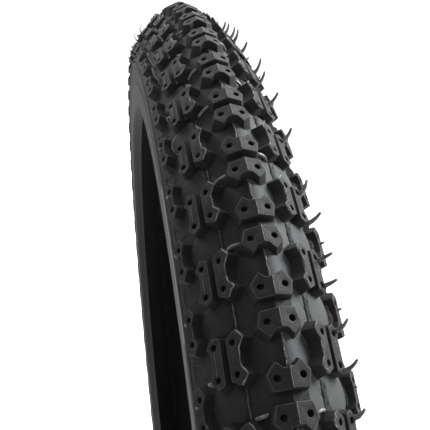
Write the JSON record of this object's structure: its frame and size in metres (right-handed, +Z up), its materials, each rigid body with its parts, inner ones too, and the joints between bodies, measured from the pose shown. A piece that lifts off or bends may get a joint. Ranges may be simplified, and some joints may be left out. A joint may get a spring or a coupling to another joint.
{
  "type": "bicycle tire",
  "caption": "Wire-bead clincher tire with dog-bone knobs in clusters, open inside for a tube, in its free unmounted shape.",
  "frame": {"origin": "centre of the wheel, on the tire's middle plane", "axes": "+Y along the axle, +Z up, +X forwards"},
  "size_m": [0.508, 0.0496, 0.508],
  "materials": {
    "tread_rubber": "matte moulded tread rubber with a fine grain",
    "flash_rubber": "thin dull flash torn at its edge",
    "spew_rubber": "soft satin rubber hairs",
    "sidewall_rubber": "satin sidewall rubber",
    "label_film": "plain dull printed patch without marks",
    "casing_fabric": "rubberised carcass fabric with a fine crossed cord texture",
    "chafer_rubber": "smooth bead strip with a fine woven print",
    "filler_rubber": "plain bead filler",
    "bead_steel": "drawn steel bead wire"
  },
  "bodies": {
    "root": {"tread_base": "tread_rubber", "centre_knobs": "tread_rubber", "flank_knobs_left": "tread_rubber", "flank_knobs_right": "tread_rubber", "shoulder_knobs_left": "tread_rubber", "shoulder_knobs_right": "tread_rubber", "parting_flash_centre": "flash_rubber", "parting_flash_left": "flash_rubber", "parting_flash_right": "flash_rubber", "flank_vent_spews_left": "spew_rubber", "flank_vent_spews_right": "spew_rubber", "shoulder_vent_spews_left": "spew_rubber", "shoulder_vent_spews_right": "spew_rubber", "sidewall_left": "sidewall_rubber", "sidewall_right": "sidewall_rubber", "sidewall_label_left": "label_film", "casing_ply_inner": "casing_fabric", "casing_ply_outer": "casing_fabric", "chafer_left": "chafer_rubber", "chafer_right": "chafer_rubber", "bead_filler_left": "filler_rubber", "bead_filler_right": "filler_rubber", "bead_wire_left": "bead_steel", "bead_wire_right": "bead_steel"}
  },
  "joints": []
}
